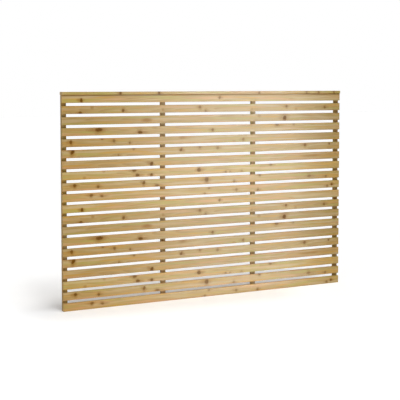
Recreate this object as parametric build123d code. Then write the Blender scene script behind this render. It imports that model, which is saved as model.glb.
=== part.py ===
from build123d import *

import math
import os

# Slatted screen panel of planed softwood: level slats, upright battens behind them and a capping slat
# laid flat along the top, all held by wire staples.
#
# Frame: the origin is under the middle of the panel, +X runs along the slats, +Y to the back and +Z up.
# The slats' backs and the battens' fronts meet in the plane y = 0. All lengths are in millimetres.

# Slats
panel_width = 1800.0
slat_count = 20
slat_height = 44.0
slat_thickness = 16.0
slat_gap = 16.0

# Battens, from left to right
batten_names = ["left_batten", "inner_left_batten", "inner_right_batten", "right_batten"]
batten_width = 28.0
batten_depth = 16.0

# Capping slat
cap_depth = 44.0
cap_thickness = 16.0

# Planing: the long edges of a board's face are rounded, the other long edges are only eased.
face_radius = 2.5
edge_ease = 1.0

# Wire staples, shared by every joint in the timber
staple_crown = 11.0
staple_wire_width = 1.6
staple_wire_thickness = 1.4
staple_point = 2.0

# Slat staples are driven from behind, with the crown turned across the grain of both pieces.
slat_staple_turn = 45.0
slat_staple_cover = 4.0

# Capping staples are driven from above: one beside the middle of each batten, and a few along each bay.
cap_staple_bite = 12.0
cap_staple_offset = 8.0
cap_staples_per_bay = 2

# What follows from the sizes above
slat_pitch = slat_height + slat_gap
slats_top = slat_count * slat_height + (slat_count - 1) * slat_gap
cap_top = slats_top + cap_thickness
slat_staple_leg = batten_depth + slat_thickness - slat_staple_cover
cap_staple_leg = cap_thickness + cap_staple_bite
first_batten = -(panel_width - batten_width) / 2
batten_spacing = (panel_width - batten_width) / (len(batten_names) - 1)
batten_places = [first_batten + i * batten_spacing for i in range(len(batten_names))]


def slat_middle(number):
    """The height of a slat's centre line; slat 1 is the top one."""
    return slats_top - slat_height / 2 - (number - 1) * slat_pitch


def planed_section(width, thickness):
    """The section of a board that lies on the X axis, with its rounded face up and its eased back down."""
    section = Rectangle(width, thickness, align=(Align.CENTER, Align.MIN))
    section = fillet(section.vertices().group_by(Axis.Y)[-1], face_radius)
    return chamfer(section.vertices().group_by(Axis.Y)[0], edge_ease)


def slat(number):
    """A slat with its rounded face to the front and its back in the plane y = 0."""
    end = Plane(origin=(0, 0, slat_middle(number)), x_dir=(0, 0, 1), z_dir=(1, 0, 0))
    return extrude(end * planed_section(slat_height, slat_thickness), panel_width / 2, both=True)


def capping():
    """The board laid flat along the top, rounded face up, flush at the ends and proud front and back."""
    end = Plane(origin=(0, 0, slats_top), x_dir=(0, 1, 0), z_dir=(1, 0, 0))
    return extrude(end * planed_section(cap_depth, cap_thickness), panel_width / 2, both=True)


def batten(place):
    """An upright batten from the foot of the panel to the underside of the capping."""
    section = Rectangle(batten_width, batten_depth)
    section = chamfer(section.vertices(), edge_ease)
    return Pos(place, batten_depth / 2, 0) * extrude(section, slats_top)


def staple(leg):
    """A staple with its crown along X at z = 0 and its two chisel-pointed legs reaching down to z = -leg."""
    outer = staple_crown / 2
    inner = outer - staple_wire_thickness
    outline = Polyline(
        (-outer, 0),
        (outer, 0),
        (outer, -leg),
        (inner, staple_point - leg),
        (inner, -staple_wire_thickness),
        (-inner, -staple_wire_thickness),
        (-inner, staple_point - leg),
        (-outer, -leg),
        close=True,
    )
    return extrude(Plane.XZ * make_face(outline), staple_wire_width / 2, both=True)


def slat_staple(place, number):
    """The staple through one batten into one slat, its crown flush with the batten's back."""
    turn = math.radians(slat_staple_turn)
    seat = Plane(
        origin=(place, batten_depth, slat_middle(number)),
        x_dir=(math.cos(turn), 0, math.sin(turn)),
        z_dir=(0, 1, 0),
    )
    return seat * staple(slat_staple_leg)


def cap_staples():
    """The staples down through the capping, their crowns flush with its top."""
    found = []
    for place in batten_places:
        # One leg goes into the top slat and the other into the batten's end, clear of the slat staple there.
        beside = place - math.copysign(cap_staple_offset, place)
        seat = Plane(origin=(beside, 0, cap_top), x_dir=(0, 1, 0), z_dir=(0, 0, 1))
        found.append(seat * staple(cap_staple_leg))
    for place in batten_places[:-1]:
        # Between the battens both legs go into the top slat.
        for step in range(1, cap_staples_per_bay + 1):
            along = place + batten_spacing * step / (cap_staples_per_bay + 1)
            found.append(Pos(along, -slat_thickness / 2, cap_top) * staple(cap_staple_leg))
    return found


def save(name, *solids):
    """Writes one node; several solids make a group of separate pieces."""
    shape = solids[0] if len(solids) == 1 else Compound(children=list(solids))
    export_step(shape, f"parts/{name}.step")


def main():
    os.makedirs("parts", exist_ok=True)
    numbers = range(1, slat_count + 1)
    capping_fixings = cap_staples()
    slat_fixings = {
        (name, number): slat_staple(place, number)
        for name, place in zip(batten_names, batten_places)
        for number in numbers
    }

    for number in numbers:
        fixings = [slat_fixings[name, number] for name in batten_names]
        if number == 1:
            fixings += capping_fixings
        save(f"slat_{number:02d}", slat(number) - fixings)

    for name, place in zip(batten_names, batten_places):
        fixings = [slat_fixings[name, number] for number in numbers]
        save(name, batten(place) - (fixings + capping_fixings))
        save(f"{name}_staples", *fixings)

    save("top_cap", capping() - capping_fixings)
    save("cap_staples", *capping_fixings)


main()
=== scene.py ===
# %% [markdown]
# A slatted screen panel in treated pine.
# On the real panel twenty planed slats are stapled to four upright battens, and one more slat lies flat
# along the top as a capping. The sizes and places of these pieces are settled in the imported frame, so this
# lesson starts from it and never moves a piece. What is left for Blender is the timber: clean boards,
# growth rings, knots, tint and sheen, and after that a floor, soft light and a camera.

import math

import bmesh
import bpy
from mathutils import Matrix, Vector


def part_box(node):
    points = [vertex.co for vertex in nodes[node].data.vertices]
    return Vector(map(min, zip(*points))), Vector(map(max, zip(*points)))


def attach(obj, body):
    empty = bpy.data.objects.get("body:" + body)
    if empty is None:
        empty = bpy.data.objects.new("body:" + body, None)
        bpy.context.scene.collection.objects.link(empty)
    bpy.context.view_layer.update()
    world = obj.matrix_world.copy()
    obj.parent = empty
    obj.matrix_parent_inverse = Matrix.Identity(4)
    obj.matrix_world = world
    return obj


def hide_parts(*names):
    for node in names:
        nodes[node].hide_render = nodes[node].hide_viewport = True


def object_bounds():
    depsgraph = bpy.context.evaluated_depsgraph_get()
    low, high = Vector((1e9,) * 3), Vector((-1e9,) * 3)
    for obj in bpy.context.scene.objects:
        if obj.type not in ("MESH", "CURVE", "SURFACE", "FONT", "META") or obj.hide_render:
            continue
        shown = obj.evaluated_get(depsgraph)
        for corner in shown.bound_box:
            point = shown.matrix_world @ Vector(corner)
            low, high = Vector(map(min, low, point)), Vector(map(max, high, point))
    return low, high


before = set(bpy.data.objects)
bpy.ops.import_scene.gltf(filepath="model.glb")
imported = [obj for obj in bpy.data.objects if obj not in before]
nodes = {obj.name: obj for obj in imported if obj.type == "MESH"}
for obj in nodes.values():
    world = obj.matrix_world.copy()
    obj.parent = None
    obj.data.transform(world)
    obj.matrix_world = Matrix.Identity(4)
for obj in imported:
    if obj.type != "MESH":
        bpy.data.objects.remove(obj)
cad_low, cad_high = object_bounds()
mm = 0.001
print("CAD box in mm:", [round(side / mm) for side in cad_high - cad_low], "nodes:", len(nodes))

# %% [markdown]
# Boards.
# Slats, battens and capping all leave the planer as the same thing: a straight stick with rounded or eased
# arrises. The frame's own meshes have that form, but as loose triangles, on which baked textures come out
# patchy. A cube that is scaled, bevelled along its long edges and cut into bays has the same form with
# clean faces. Every board is made lying flat round the origin with its best face up, and turned into place
# later, so that one recipe serves all three.

# %% One planed board
longest_bay = 450 * mm
rounded = (2.5 * mm, 4)
eased = (1.0 * mm, 1)


def planed_board(size, face_arris, back_arris):
    """A board with its length along X and its best face up. An arris is a width and a number of facets."""
    form = bmesh.new()
    bmesh.ops.create_cube(form, size=1.0)
    bmesh.ops.scale(form, vec=size, verts=form.verts)
    for side, (width, facets) in ((1, face_arris), (-1, back_arris)):
        picked = []
        for edge in form.edges:
            start, end = [corner.co for corner in edge.verts]
            if abs(end.x - start.x) > size.x / 2 and start.z * side > 0:
                picked.append(edge)
        bmesh.ops.bevel(
            form, geom=picked, offset=width, affect="EDGES", segments=facets, profile=0.5, material=-1
        )
    return form


def bays_of(size):
    """The number of bays that a board is cut into for its texture."""
    return math.ceil(size.x / longest_bay - 0.01)


def cut_bays(form, size):
    """Cuts a board across into equal bays, so that its long faces can be laid side by side."""
    bays = bays_of(size)
    for number in range(1, bays):
        geometry = form.verts[:] + form.edges[:] + form.faces[:]
        place = (size.x * (number / bays - 0.5), 0.0, 0.0)
        bmesh.ops.bisect_plane(form, geom=geometry, plane_co=place, plane_no=(1.0, 0.0, 0.0))


print("arrises in mm:", round(rounded[0] / mm, 1), "on the faces and", round(eased[0] / mm, 1), "elsewhere")

# %% [markdown]
# Seats for the staples.
# A staple gun drives the wire until its crown lies flush in the wood, so the crown sits in a slot of its
# own shape. Without the slot the crown and the board would share one surface and flicker. A boolean would
# cut it too, but it leaves untidy faces. Here four planes trim the face that lies under the crown down to
# the crown's outline, and that small face is then extruded into the board.

# %% Sink a crown
crown_length = 11 * mm
crown_width = 1.6 * mm
crown_depth = 1.4 * mm


def face_under(faces, point):
    """The face that holds a point of the board's best side."""
    return next(face for face in faces if bmesh.geometry.intersect_face_point(face, point))


def sink_crown(form, size, along, across, turn):
    """Sinks the seat of one crown, which lies at a turn to the board's length, into its best face."""
    middle = Vector((along, across, size.z / 2))
    lengthwise = Vector((math.cos(turn), math.sin(turn), 0.0))
    crosswise = Vector((-math.sin(turn), math.cos(turn), 0.0))
    top_faces = [face for face in form.faces if face.calc_center_median().z > size.z / 2 - 0.01 * mm]
    seat = face_under(top_faces, middle)
    for direction, width in ((lengthwise, crown_length), (crosswise, crown_width)):
        for outward in (direction, -direction):
            geometry = [seat, *seat.edges, *seat.verts]
            edge_point = middle + outward * width / 2
            cut = bmesh.ops.bisect_plane(form, geom=geometry, plane_co=edge_point, plane_no=outward)
            cut_faces = [part for part in cut["geom"] if isinstance(part, bmesh.types.BMFace)]
            seat = face_under(cut_faces, middle)
    sunk = bmesh.ops.extrude_discrete_faces(form, faces=[seat])["faces"]
    bmesh.ops.translate(form, vec=(0.0, 0.0, -crown_depth), verts=sunk[0].verts)


print("crown seat in mm:", [round(side / mm, 1) for side in (crown_length, crown_width, crown_depth)])

# %% [markdown]
# Unrolling.
# The grain is a formula and needs no picture, but other programs get it baked into one texture for each
# board. Blender can unwrap a board by itself, and then a face 1.8 m long runs through the whole picture and
# leaves most of it empty. Laying the bays one above the other, each with its face, back and edges side by
# side, fills the square and gives every side the same fine scale.

# %% Lay a board flat
strip_gap = 3 * mm


def unroll(form, size):
    """Gives a board its texture map: a row of strips for each bay, with the two ends beside them."""
    bays = bays_of(size)
    bay = size.x / bays
    face_strip = size.y + strip_gap
    edge_strip = size.z + strip_gap
    row = 2 * face_strip + 2 * edge_strip + crown_depth + strip_gap
    square = max(bay + edge_strip + strip_gap, bays * row)
    inside = size / 2 - Vector((mm, mm, 0.0))
    layer = form.loops.layers.uv.new("OFBake")
    form.normal_update()
    for face in form.faces:
        normal = face.normal
        centre = face.calc_center_median()
        number = min(int(centre.x / bay + bays / 2), bays - 1)
        upright = abs(normal.z) < 0.1
        for loop in face.loops:
            along, across, through = loop.vert.co + size / 2
            on_bay = along - number * bay
            if upright and abs(centre.x) < inside.x and abs(centre.y) < inside.y:
                # The walls of a crown's seat, slanted so that those across the board get a width as well
                spot = (0.9 * (on_bay + across / 2), 2 * face_strip + 2 * edge_strip + size.z - through)
            elif abs(normal.x) > 0.9:
                spot = (bay + strip_gap + through, across)
            elif abs(normal.z) < 0.5:
                spot = (on_bay, 2 * face_strip + (edge_strip if normal.y < 0 else 0.0) + through)
            else:
                spot = (on_bay, (face_strip if normal.z < 0 else 0.0) + across)
            right = spot[0] + strip_gap / 2
            up = spot[1] + number * row + strip_gap / 2
            loop[layer].uv = (right / square, up / square)


print("bays in a slat:", bays_of(cad_high - cad_low))

# %% [markdown]
# Boards in their places.
# Each board is sized and placed by the box of the frame's own node, and then stands in for it. Three turns
# are enough: a slat shows its best face to the front, a batten stands up with its best face to the back,
# where the staples go in, and the capping stays as it was made, face up.

# %% Twenty slats, four battens and a capping
face_front = Matrix(((1, 0, 0), (0, 0, -1), (0, 1, 0)))
stood_up = Matrix(((0, 1, 0), (0, 0, 1), (1, 0, 0)))
face_up = Matrix.Identity(3)


def make_board(node, turn, face_arris, crowns=()):
    """A board that stands for a node. Crowns are places along and across it, with a turn in degrees."""
    low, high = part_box(node)
    size = turn.transposed() @ (high - low)
    size = Vector([abs(side) for side in size])
    form = planed_board(size, face_arris, eased)
    cut_bays(form, size)
    for along, across, angle in crowns:
        sink_crown(form, size, along, across, math.radians(angle))
    unroll(form, size)
    bmesh.ops.transform(form, matrix=Matrix.Translation((low + high) / 2) @ turn.to_4x4(), verts=form.verts)
    form.normal_update()
    for face in form.faces:
        face.smooth = len(face.verts) == 4 and max(abs(part) for part in face.normal) < 0.999

    name = f"board_{node}"
    mesh = bpy.data.meshes.new(name)
    form.to_mesh(mesh)
    form.free()
    board = bpy.data.objects.new(name, mesh)
    bpy.context.scene.collection.objects.link(board)
    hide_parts(node)
    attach(board, "root")
    return board


def middle_of(node):
    """The middle of a node's box."""
    low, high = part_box(node)
    return (low + high) / 2


slat_nodes = sorted(name for name in nodes if name.startswith("slat_"))
batten_nodes = [name for name in nodes if name.endswith("_batten")]
batten_nodes.sort(key=lambda name: middle_of(name).x)
slats = [make_board(node, face_front, rounded) for node in slat_nodes]

slat_staple_turn = 45
battens = []
for node in batten_nodes:
    half_way = middle_of(node).z
    crowns = [(middle_of(slat).z - half_way, 0.0, slat_staple_turn) for slat in slat_nodes]
    battens.append(make_board(node, stood_up, eased, crowns))

cap_staple_offset = 8 * mm
cap_staples_per_bay = 2
batten_places = [middle_of(node).x for node in batten_nodes]
spacing = batten_places[1] - batten_places[0]
crowns = [(place - math.copysign(cap_staple_offset, place), 0.0, 90) for place in batten_places]
for place in batten_places[:-1]:
    for step in range(1, cap_staples_per_bay + 1):
        crowns.append((place + spacing * step / (cap_staples_per_bay + 1), -cap_staple_offset, 0))
capping = make_board("top_cap", face_up, rounded, crowns)
face_counts = [len(board.data.polygons) for board in (slats[0], battens[0], capping)]
print("boards:", len(slats + battens) + 1, "faces of one of each:", face_counts)

# %% [markdown]
# Shader maths.
# A material is a tree of nodes, and grain needs a lot of arithmetic. It could be clicked together or
# written as long lists of links, but then nobody can read the formula any more. A small class around a
# socket lets Python's own operators add the Math nodes, so the code below reads like the formula it stands
# for.


# %% A socket that can be reckoned with
class Socket:
    """An output socket in a node tree. Arithmetic on it adds Math nodes to that tree."""

    def __init__(self, tree, plug):
        self.tree = tree
        self.plug = plug

    def node(self, kind, settings, inputs, output=0):
        """Adds any other node: first its settings, then the values or links of its input sockets."""
        made = self.tree.nodes.new(kind)
        for name, setting in settings.items():
            setattr(made, name, setting)
        for key, entry in inputs.items():
            if isinstance(entry, Socket):
                self.tree.links.new(entry.plug, made.inputs[key])
            else:
                made.inputs[key].default_value = entry
        return Socket(self.tree, made.outputs[output]) if made.outputs else None

    def math(self, operation, *operands):
        return self.node("ShaderNodeMath", {"operation": operation}, dict(enumerate(operands)))

    def __add__(self, other):
        return self.math("ADD", self, other)

    def __radd__(self, other):
        return self.math("ADD", other, self)

    def __sub__(self, other):
        return self.math("SUBTRACT", self, other)

    def __rsub__(self, other):
        return self.math("SUBTRACT", other, self)

    def __mul__(self, other):
        return self.math("MULTIPLY", self, other)

    def __rmul__(self, other):
        return self.math("MULTIPLY", other, self)


print("sums that a socket takes:", "+ - *")

# %% [markdown]
# A few words for shaders.
# Grain, knots and light all need the same handful of steps: a soft step between two values, a mix of two
# colours, stretched noise, and colours written the way a picture shows them. Giving each step a name once
# keeps the finishes below short.


# %% Steps, mixes and noise
def between(value, start, end, most=1.0):
    """0 at start and most at end, with a smooth rise; start may be the larger one."""
    settings = {"interpolation_type": "SMOOTHSTEP", "clamp": True}
    inputs = {"Value": value, "From Min": start, "From Max": end, "To Min": 0.0, "To Max": most}
    return value.node("ShaderNodeMapRange", settings, inputs)


def mixed(factor, first, second):
    """A colour that goes from first to second as the factor goes from 0 to 1."""
    settings = {"data_type": "RGBA", "clamp_factor": True}
    return factor.node("ShaderNodeMix", settings, {0: factor, 6: first, 7: second}, output=2)


def vector(operation, *operands, output=0):
    """A Vector Math node."""
    inputs = dict(enumerate(operands))
    return operands[0].node("ShaderNodeVectorMath", {"operation": operation}, inputs, output)


def noise(place, scale, detail=2.0, offset=(0.0, 0.0, 0.0), output=0):
    """Soft noise from 0 to 1, with as many blotches to the metre on each axis as the scale says."""
    stretched = place.node("ShaderNodeMapping", {}, {"Vector": place, "Location": offset, "Scale": scale})
    inputs = {"Vector": stretched, "Scale": 1.0, "Detail": detail}
    return place.node("ShaderNodeTexNoise", {}, inputs, output)


def colour(red, green, blue):
    """A colour written as 0 to 255, the way a picture shows it, in the linear light that shaders use."""
    parts = [part / 255 for part in (red, green, blue)]
    return (*[part / 12.92 if part <= 0.04045 else ((part + 0.055) / 1.055) ** 2.4 for part in parts], 1.0)


def begin(name):
    """A new material, emptied, and the Object coordinates in it."""
    material = bpy.data.materials.new(name)
    material.use_nodes = True
    tree = material.node_tree
    tree.nodes.clear()
    coordinates = tree.nodes.new("ShaderNodeTexCoord")
    return material, Socket(tree, coordinates.outputs["Object"])


def split(place):
    """The three parts of a place."""
    return [place.node("ShaderNodeSeparateXYZ", {}, {0: place}, output=axis) for axis in range(3)]


def finish_surface(shader):
    """Links a shader to the material's output."""
    shader.node("ShaderNodeOutputMaterial", {}, {"Surface": shader})


print("mid pine in linear light:", [round(part, 3) for part in colour(178, 148, 96)])

# %% [markdown]
# Growth rings.
# Every board is sawn out of a trunk, so the grain on its face, its edges and its ends belongs to one set of
# growth rings. A picture of wood would show the same face on all sides and stop at the corners. Rings that
# are reckoned in three dimensions, as the distance from a pith that runs beside the board, agree on every
# side. Within a ring the wood darkens slowly from spring to autumn and then drops back at once.

# %% Rings
ring_width = 2.4
pith_lean = (0.8, 0.3)
rings_of_wander = 6.0
rings_round_knots = 5.0


def late_wood_share(place, pith, swirl, offset):
    """How much of the dark autumn wood is at a place, from 0 to 1."""
    from_pith = {
        "Vector": place,
        "Location": (0.0, pith[0] * mm, pith[1] * mm),
        "Rotation": (0.0, math.radians(pith_lean[0]), math.radians(pith_lean[1])),
        "Scale": (1000.0, ring_width * mm, ring_width * mm),
    }
    in_rings = place.node("ShaderNodeMapping", {"vector_type": "TEXTURE"}, from_pith)
    wander = noise(place, (1.6, 14.0, 14.0), offset=offset)
    rings = vector("LENGTH", in_rings, output=1) + wander * rings_of_wander + swirl * rings_round_knots
    part = rings.math("FRACT", rings)
    return between(part, 0.1, 0.95) * between(part, 1.0, 0.94)


print("ring width in mm:", ring_width)

# %% [markdown]
# Knots.
# A knot is a branch that the saw went through: a brown heart, blotched with nearly black bark, and round it
# a smear of darker wood where the trunk's fibres ran past the branch. Painting them by hand would fix them
# to one picture. Here each one is an ellipse with a place, a size and a darkness, and the shader reads how
# deep in one of them it is. A little noise on the coordinates makes the outlines ragged.

# %% Knots and their smears
ragged_by = (9 * mm, 7 * mm, 0.0)
smears = [(0.3, 0.0, 2.5, 0.9, 0, 0.7), (0.0, 0.25, 1.2, 1.5, -20, 0.75)]


def roughened(place):
    """The place, shifted a little this way and that, so that what is drawn on it gets a ragged outline."""
    jitter = noise(place, (70.0, 110.0, 110.0), output=1)
    back = tuple(-reach / 2 for reach in ragged_by)
    return vector("ADD", place, vector("MULTIPLY_ADD", jitter, ragged_by, back))


def knot_share(place, knots, start, end):
    """How much of a knot is at a place: 0 beyond start times its size, its darkness within end times."""
    most = None
    for along, up, length, height, turn, darkness in knots:
        outline = {
            "Vector": place,
            "Location": (along * mm, up * mm, 0.0),
            "Rotation": (0.0, 0.0, math.radians(turn)),
            "Scale": (length / 2 * mm, height / 2 * mm, 1.0),
        }
        local = place.node("ShaderNodeMapping", {"vector_type": "TEXTURE"}, outline)
        share = between(vector("LENGTH", local, output=1), start, end, darkness)
        most = share if most is None else share.math("MAXIMUM", share, most)
    return most


def smears_of(knots):
    """The smears round each knot, one along the grain and one across it, to one side and the other."""
    found = []
    for number, (along, up, length, height, turn, darkness) in enumerate(knots):
        side = 1 if number % 2 else -1
        for shift, lift, longer, higher, lean, share in smears:
            place = (along + side * shift * length, up + side * lift * height)
            size = (length * longer, height * higher)
            found.append((*place, *size, turn + side * lean, share * darkness))
    return found


print("smears to a knot:", len(smears))

# %% [markdown]
# Pine.
# Treated pine is straw yellow with long streaks of rose, olive and amber. A planed board has a faint ribbed
# feel, because the hard autumn wood stands a little higher, and the dull sheen of a thin film that the
# knots have soaked up. All of that comes from the same few values: the ring share darkens the colour,
# lowers the roughness and lifts the bump, the streaks are noise stretched along the grain, and the film is
# a weak coat. Painted shade is treated as a knot is: it darkens the wood and takes the sheen away.

# %% The pine finish
spring_wood = colour(190, 160, 100)
autumn_wood = colour(164, 126, 68)
streaks = [
    (colour(199, 154, 103), (3.0, 50.0, 50.0), 0.48, 0.66),
    (colour(178, 159, 84), (3.0, 58.0, 58.0), 0.48, 0.68),
    (colour(197, 152, 74), (3.6, 64.0, 64.0), 0.50, 0.68),
    (colour(194, 168, 120), (3.2, 60.0, 60.0), 0.50, 0.70),
]
smear_colour = colour(152, 106, 40)
heart_colour = colour(128, 84, 20)
bark_colour = colour(94, 56, 8)
knot_edge = (1.35, 0.65)
smear_edge = (1.7, 0.4)
slat_film = 0.2
film_roughness = 0.4
grain_relief = 0.4 * mm
seed_step = (3.7, 1.3, 2.1)
streak_step = 17.3


def tinted(tone, tint):
    """A colour with each part multiplied by that of a tint."""
    return (*[part * share for part, share in zip(tone, tint)], 1.0)


def pine(place, pith, tint, knots, faint_knots, seed, film=slat_film, painted_shade=None):
    """The shader of one pine board. The place runs along the grain, across the board and through it."""
    offset = tuple(seed * step for step in seed_step)
    ragged = roughened(place)
    inside = knot_share(ragged, knots, *knot_edge)
    # A painted shade line, standing in for the capping's shadow, darkens the wood and takes the sheen away
    # as a knot does.
    if painted_shade is not None:
        inside = inside.math("MAXIMUM", inside, painted_shade)
    smear = knot_share(ragged, smears_of(knots) + faint_knots, *smear_edge)
    late = late_wood_share(place, pith, smear, offset)
    fibre = noise(place, (30.0, 1500.0, 1500.0), detail=1.0, offset=offset)
    wood = mixed(late * 0.45 + fibre * 0.35, tinted(spring_wood, tint), tinted(autumn_wood, tint))
    for number, (tone, scale, start, end) in enumerate(streaks, start=1):
        drift = tuple(part + number * streak_step for part in offset)
        share = between(noise(place, scale, detail=3.0, offset=drift), start, end)
        wood = mixed(share, wood, tinted(tone, tint))

    wood = mixed(smear, wood, smear_colour)
    blotches = noise(ragged, (320.0, 320.0, 320.0), offset=offset)
    wood = mixed(inside, wood, mixed(between(blotches, 0.35, 0.65), heart_colour, bark_colour))

    height = late * 0.4 + fibre * 0.3 - inside * 0.5
    relief = {"Strength": 0.25, "Distance": grain_relief, "Height": height}
    surface = {
        "Base Color": wood,
        "Roughness": 0.55 - late * 0.1 + inside * 0.2,
        "Specular IOR Level": 0.04,
        "Coat Weight": film * (1 - inside) * (1 - smear * 0.3),
        "Coat Roughness": film_roughness,
        "Normal": height.node("ShaderNodeBump", {}, relief),
    }
    return wood.node("ShaderNodeBsdfPrincipled", {}, surface)


print("streak colours:", len(streaks))

# %% [markdown]
# Ten kinds of slat.
# On the panel the run of boards repeats after ten, so ten finishes serve twenty slats. Each knot is listed
# as its distance along the board from the middle, its height above the centre line, its length and height
# in millimetres, its turn in degrees and its darkness from 0 to 1. Faint knots have a smear and no dark
# heart. A board's tint and the place of its pith say which part of which trunk it was sawn from. The top
# slat has a painted shade line along its upper edge, a darker band where the capping's shadow falls.

# %% Knots and tints of the ten boards
slat_knots = {
    1: [(-790, -8, 15, 21, 0, 1.0), (60, 0, 14, 15, 0, 0.65)],
    2: [(-797, -16, 18, 14, 0, 0.95), (-545, -7, 16, 18, 0, 0.8), (-68, 8, 17, 16, 0, 0.65),
        (-31, -15, 14, 14, 0, 0.55), (515, 6, 15, 15, 0, 0.8), (790, -3, 17, 16, 0, 0.65)],
    3: [(503, -3, 24, 26, 0, 1.0)],
    4: [(-690, 9, 40, 20, 0, 1.0), (-444, -11, 29, 15, 0, 1.0), (14, -5, 17, 16, 0, 0.75),
        (449, 17, 28, 14, 0, 0.65), (568, 18, 14, 11, 0, 0.4)],
    5: [(-852, 5, 16, 22, 0, 0.85), (-671, 17, 14, 9, 0, 0.6), (-600, 7, 17, 18, 0, 0.6),
        (-506, -7, 12, 12, 0, 0.7), (218, -6, 17, 18, 0, 0.55)],
    6: [(-843, 11, 19, 28, -40, 1.0), (-575, -15, 12, 12, 0, 0.5), (-483, 18, 13, 9, 0, 0.6),
        (-189, 4, 16, 20, -25, 0.85), (-68, 16, 16, 14, 0, 0.55), (47, 7, 17, 16, 0, 0.55),
        (649, 9, 18, 17, 0, 0.75), (825, 12, 12, 12, 0, 0.65)],
    7: [(-374, -9, 18, 22, -25, 1.0)],
    8: [(-480, 17, 24, 12, 0, 0.8), (-461, -11, 24, 14, 0, 0.85), (-375, -11, 16, 16, 0, 0.9),
        (-75, 4, 22, 20, 0, 0.85), (101, -13, 12, 13, 0, 0.5), (130, -14, 11, 10, 0, 0.4),
        (208, -13, 15, 13, 0, 0.35), (407, 16, 18, 13, 0, 0.55)],
    9: [(-832, 7, 18, 18, 0, 0.85), (-696, -5, 16, 15, 0, 0.75), (-422, 5, 16, 22, -25, 0.8),
        (-340, -14, 26, 10, 0, 0.75), (-25, 6, 26, 27, 0, 0.75), (156, -13, 16, 14, 0, 0.5),
        (331, 17, 16, 12, 0, 0.65), (680, -2, 26, 16, 0, 0.5), (802, -9, 16, 14, 0, 0.5)],
    10: [(-736, 10, 21, 15, 0, 0.75), (-675, 2, 23, 12, 0, 0.7), (-37, -15, 16, 13, 0, 0.45),
         (-9, 14, 14, 12, 0, 0.5), (172, -2, 16, 17, 0, 0.5), (318, -11, 16, 13, 0, 0.7),
         (813, -9, 16, 14, 0, 0.55), (845, -2, 15, 14, 0, 0.9)],
}
faint_slat_knots = {
    2: [(-728, 11, 18, 14, 0, 0.6), (-303, -5, 18, 16, 0, 0.6), (277, -9, 18, 14, 0, 0.5),
        (583, -13, 18, 14, 0, 0.5)],
    3: [(-404, -2, 55, 20, 0, 0.85), (326, 11, 22, 18, 0, 0.5), (503, 2, 52, 40, 0, 0.6)],
    4: [(-690, 8, 70, 30, 0, 0.8), (-444, -6, 34, 26, 30, 0.6), (449, 15, 52, 20, 0, 0.4)],
    5: [(-180, 15, 40, 16, 0, 0.6), (155, -15, 20, 14, 0, 0.5)],
    7: [(690, 2, 120, 12, 0, 0.6)],
    8: [(-776, -14, 18, 14, 0, 0.5), (-663, 18, 18, 12, 0, 0.5)],
    9: [(-25, 6, 54, 36, 0, 0.5)],
}
slat_tints = {
    1: (1.05, 1.05, 1.04),
    2: (0.935, 0.915, 0.895),
    3: (0.9, 0.89, 0.88),
    4: (0.97, 0.965, 0.955),
    5: (0.92, 0.895, 0.85),
    6: (0.965, 0.965, 0.945),
    7: (0.935, 0.915, 0.89),
    8: (1.06, 1.1, 1.07),
    9: (1.0, 0.99, 0.965),
    10: (1.03, 1.015, 0.97),
}
repeat = len(slat_knots)
slat_low, slat_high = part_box(slat_nodes[0])
slat_height = slat_high.z - slat_low.z
pitch = middle_of(slat_nodes[0]).z - middle_of(slat_nodes[1]).z
print("knots on ten boards:", sum(len(knots) for knots in slat_knots.values()))

# %% Slat finishes
# The painted shade line: the top slat darkens over its upper 10 mm, where the capping's shadow falls.
painted_shade_start = slat_high.z - 10 * mm
painted_shade_full = slat_high.z - 4 * mm
painted_shade_share = 0.45
for kind in slat_knots:
    material, place = begin(f"pine_slat_{kind:02d}")
    x, y, z = split(place)
    wrapped = z.math("FLOORED_MODULO", z, repeat * pitch)
    across = wrapped - ((repeat - kind) * pitch + slat_height / 2)
    on_board = place.node("ShaderNodeCombineXYZ", {}, {0: x, 1: across, 2: y})
    # Each kind comes from another part of the trunk, with its pith some way beside the board.
    pith = (13 * (kind % 5) - 30, 60 - 9 * (kind % 4))
    faint_knots = faint_slat_knots.get(kind, [])
    # The painted shade is set by height, so of the two slats of the first kind only the top one gets it.
    painted_shade = between(z, painted_shade_start, painted_shade_full, painted_shade_share) if kind == 1 else None
    knots = slat_knots[kind]
    finish_surface(pine(on_board, pith, slat_tints[kind], knots, faint_knots, kind, painted_shade=painted_shade))
    for board in slats[kind - 1 :: repeat]:
        board.data.materials.append(material)
print("slat finishes:", repeat)

# %% [markdown]
# Battens.
# The battens carry the slats from behind and show only through the gaps, as short dark stretches in the
# shade of the slats. They are the same pine and share the finish, with a darker tint that is painted shade
# for the deep gaps, less film and grain that runs upright.

# %% Batten finishes
# The darker tint is painted shade, for the shade the battens get in the gaps between the slats.
batten_painted_shade_tint = (0.70, 0.67, 0.585)
batten_film = 0.08
batten_pith = (12, 40)
batten_seed = 20
for number, (node, board) in enumerate(zip(batten_nodes, battens)):
    material, place = begin(f"pine_{node}")
    x, y, z = split(place)
    on_board = place.node("ShaderNodeCombineXYZ", {}, {0: z, 1: x - middle_of(node).x, 2: y})
    knots = [(260 + 90 * number, -4, 12, 12, 0, 0.8), (840 - 50 * number, 5, 11, 12, 0, 0.7)]
    seed = batten_seed + number
    finish_surface(pine(on_board, batten_pith, batten_painted_shade_tint, knots, [], seed, batten_film))
    board.data.materials.append(material)
print("batten finishes:", len(battens))

# %% [markdown]
# Capping.
# The capping is one more slat laid flat, so its rounded face is on top and the front shows only its edge.
# The knots run right through from the face to that edge. The finish is the slats' own, with the board's
# coordinates taken from the way it lies.

# %% Capping finish
cap_knots = [(-564, -17, 17, 16, 0, 0.8), (-329, -17, 17, 15, 0, 0.9), (322, -16, 17, 16, 0, 0.6),
             (655, -16, 17, 15, 0, 0.6), (741, -17, 16, 14, 0, 0.6), (853, -17, 16, 14, 0, 0.6)]
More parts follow.
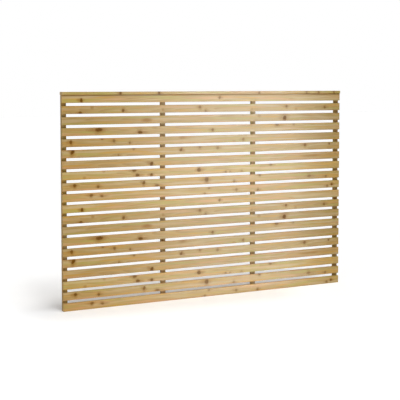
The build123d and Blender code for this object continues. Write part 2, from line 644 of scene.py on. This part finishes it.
# A little paler than the slats: painted highlight, for the light that the capping's top edge catches.
cap_painted_highlight_tint = (1.02, 1.01, 1.0)
cap_pith = (10, -45)
cap_seed = 31
material, place = begin("pine_top_cap")
x, y, z = split(place)
on_board = place.node("ShaderNodeCombineXYZ", {}, {0: x, 1: y, 2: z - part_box("top_cap")[0].z})
finish_surface(pine(on_board, cap_pith, cap_painted_highlight_tint, cap_knots, [], cap_seed))
capping.data.materials.append(material)
print("capping knots:", len(cap_knots))

# %% [markdown]
# Staples.
# The staples are bent from galvanised wire. Zinc is a bright grey metal, a little blotched. The frame's own
# solids have the right shape, so they stay and only get a finish, in which one noise moves both the colour
# and the roughness.

# %% Galvanised wire
material, place = begin("galvanised_wire")
blotches = noise(place, (900.0, 900.0, 900.0))
dull_zinc = colour(150, 152, 154)
pale_zinc = colour(192, 194, 196)
zinc = mixed(blotches, dull_zinc, pale_zinc)
wire = {"Base Color": zinc, "Metallic": 1.0, "Roughness": 0.3 + blotches * 0.2}
finish_surface(zinc.node("ShaderNodeBsdfPrincipled", {}, wire))
staple_nodes = [name for name in nodes if name.endswith("_staples")]
for node in staple_nodes:
    nodes[node].data.materials.clear()
    nodes[node].data.materials.append(material)
print("staple groups:", len(staple_nodes))

# %% [markdown]
# Floor and background.
# The panel stands on a white studio floor that runs into a white background, with only its own soft shadow
# on it. Turning the lamps up until the floor is white would bleach the wood. Instead the floor is white
# paint with a little glow that only the camera sees, and the world is white for the camera and for
# reflections but gives off less light than that. Close to the panel the glow fades, which is painted shade:
# it darkens the floor round the foot, in front as well as behind, where it adds to the real shadow.

# %% Floor
pure_white = (1.0, 1.0, 1.0, 1.0)
floor_paint = (0.95, 0.95, 0.95, 1.0)
floor_size = 60.0
floor_glow = 0.23
# The glow is least along this stretch of the foot and full again at the larger distance from it; this fade
# is painted shade round the foot.
foot_shade_glow = 0.06
foot_start = -0.88
foot_end = 0.3
foot_reach = (0.08, 0.36)
form = bmesh.new()
bmesh.ops.create_grid(form, x_segments=1, y_segments=1, size=floor_size / 2)
mesh = bpy.data.meshes.new("floor")
form.to_mesh(mesh)
form.free()
floor = bpy.data.objects.new("floor", mesh)
bpy.context.scene.collection.objects.link(floor)

material, place = begin("white_floor")
seen = place.node("ShaderNodeLightPath", {}, {}, output="Is Camera Ray")
paint = place.node("ShaderNodeBsdfDiffuse", {}, {"Color": floor_paint})
x, y = split(place)[:2]
from_middle = x - (foot_start + foot_end) / 2
beyond = from_middle.math("ABSOLUTE", from_middle) - (foot_end - foot_start) / 2
beyond = beyond.math("MAXIMUM", beyond, 0.0)
from_foot = vector("LENGTH", place.node("ShaderNodeCombineXYZ", {}, {0: beyond, 1: y}), output=1)
least_share = foot_shade_glow / floor_glow
glow_share = seen * (least_share + between(from_foot, *foot_reach, 1.0 - least_share))
glow = place.node("ShaderNodeEmission", {}, {"Color": pure_white, "Strength": floor_glow})
seen_glow = place.node("ShaderNodeMixShader", {}, {0: glow_share, 2: glow})
finish_surface(place.node("ShaderNodeAddShader", {}, {0: paint, 1: seen_glow}))
floor.data.materials.append(material)
print("floor:", floor_size, "m wide")

# %% World
ambient = 0.33
world = bpy.data.worlds.new("white_studio")
world.use_nodes = True
world.node_tree.nodes.clear()
path = world.node_tree.nodes.new("ShaderNodeLightPath")
camera_ray = Socket(world.node_tree, path.outputs["Is Camera Ray"])
glossy_ray = Socket(world.node_tree, path.outputs["Is Glossy Ray"])
through_ray = Socket(world.node_tree, path.outputs["Is Transmission Ray"])
white = camera_ray.math("MAXIMUM", camera_ray, camera_ray.math("MAXIMUM", glossy_ray, through_ray))
strength = ambient + white * (1.0 - ambient)
background = white.node("ShaderNodeBackground", {}, {"Color": pure_white, "Strength": strength})
background.node("ShaderNodeOutputWorld", {}, {"Surface": background})
bpy.context.scene.world = world
print("ambient light:", ambient)

# %% [markdown]
# Lamps.
# The photograph's key light is a long strip overhead, from in front of the panel to almost above it, so the
# shadow behind the foot is darkest at the panel and fades away from it. One sun lamp would throw one clear
# outline. Six of them, each aimed by the place where the shadow of the panel's top falls, fade in six
# steps, and their wide discs blend the steps. A fill lamp from the left keeps that end of the panel the
# lighter one. The white sheen over the middle of the slats is a softbox close in front of them, which only
# reflections see: it is brightest right of its middle and fades towards its foot, and it adds no light of
# its own.

# %% Key lights
key_energy = 1.72
key_disc = 6
shadow_tips = [(-0.22, 0.15), (-0.22, 0.34), (-0.14, 0.56), (-0.06, 0.78), (0.06, 0.94), (0.26, 0.5)]
for number, (sideways, back) in enumerate(shadow_tips, start=1):
    sun = bpy.data.lights.new(f"key_{number}", "SUN")
    sun.energy = key_energy / len(shadow_tips)
    sun.angle = math.radians(key_disc)
    key = bpy.data.objects.new(sun.name, sun)
    key.rotation_euler = Vector((sideways, back, -cad_high.z)).to_track_quat("-Z", "Y").to_euler()
    bpy.context.scene.collection.objects.link(key)
print("key lights:", len(shadow_tips))

# %% Fill light
fill_place = Vector((-1.7, -1.6, 0.9))
fill_aim = Vector((-0.4, 0.0, 0.6))
fill_energy = 5.8
fill_light = bpy.data.lights.new("fill", "AREA")
fill_light.shape = "DISK"
fill_light.size = 1.0
fill_light.energy = fill_energy
fill = bpy.data.objects.new("fill", fill_light)
fill.location = fill_place
fill.rotation_euler = (fill_aim - fill_place).to_track_quat("-Z", "Y").to_euler()
fill.visible_camera = False
fill.visible_glossy = False
bpy.context.scene.collection.objects.link(fill)
print("fill light:", round((fill_aim - fill_place).length, 2), "m away")

# %% Softbox
box_low = Vector((-0.91, -0.08, 0.0))
box_high = Vector((1.0, -0.08, 1.3))
box_energy = 193.0
box_colour = (1.0, 0.95, 0.79, 1.0)
box_light = bpy.data.lights.new("softbox", "AREA")
box_light.shape = "RECTANGLE"
box_light.size = box_high.x - box_low.x
box_light.size_y = box_high.z - box_low.z
box_light.energy = box_energy
box_light.cycles.use_multiple_importance_sampling = False
box_light.use_nodes = True
box_light.node_tree.nodes.clear()
geometry = box_light.node_tree.nodes.new("ShaderNodeNewGeometry")
on_box = Socket(box_light.node_tree, geometry.outputs["Parametric"])
sideways, upward = split(on_box)[:2]
# The bottom slat reflects about as much floor as softbox, so the lowest strip is brighter again.
by_height = 0.66 + between(upward, 0.2, 0.8, 0.3) + between(upward, 0.07, 0.0, 0.4)
by_width = between(sideways, 0.0, 0.56) * between(sideways, 1.0, 0.72)
brightness = by_width * by_height
cloth = on_box.node("ShaderNodeEmission", {}, {"Color": box_colour, "Strength": brightness})
cloth.node("ShaderNodeOutputLight", {}, {"Surface": cloth})
softbox = bpy.data.objects.new("softbox", box_light)
softbox.location = (box_low + box_high) / 2
softbox.rotation_euler = Vector((0.0, 1.0, 0.0)).to_track_quat("-Z", "Y").to_euler()
softbox.visible_camera = False
softbox.visible_diffuse = False
bpy.context.scene.collection.objects.link(softbox)
print("softbox:", round(box_light.size, 2), "by", round(box_light.size_y, 2), "m")

# %% [markdown]
# Camera.
# The photograph is taken from about 6 m away at the height of the capping and well to the left, with the
# picture shifted down so that upright edges stay nearly upright. The same lens, place and shift give the
# same frame.

# %% Camera
camera_place = (-2.616, -5.116, 1.249)
tilt_down = 3.312
turn_right = 26.545
lens = bpy.data.cameras.new("camera")
lens.lens = 88.89
lens.sensor_width = 36.0
lens.shift_y = -0.15
camera = bpy.data.objects.new("camera", lens)
camera.location = camera_place
camera.rotation_euler = (math.radians(90 - tilt_down), 0.0, math.radians(-turn_right))
bpy.context.scene.collection.objects.link(camera)
bpy.context.scene.camera = camera
bpy.context.scene.view_settings.view_transform = "Standard"
print("camera at", [round(part, 2) for part in camera.location])
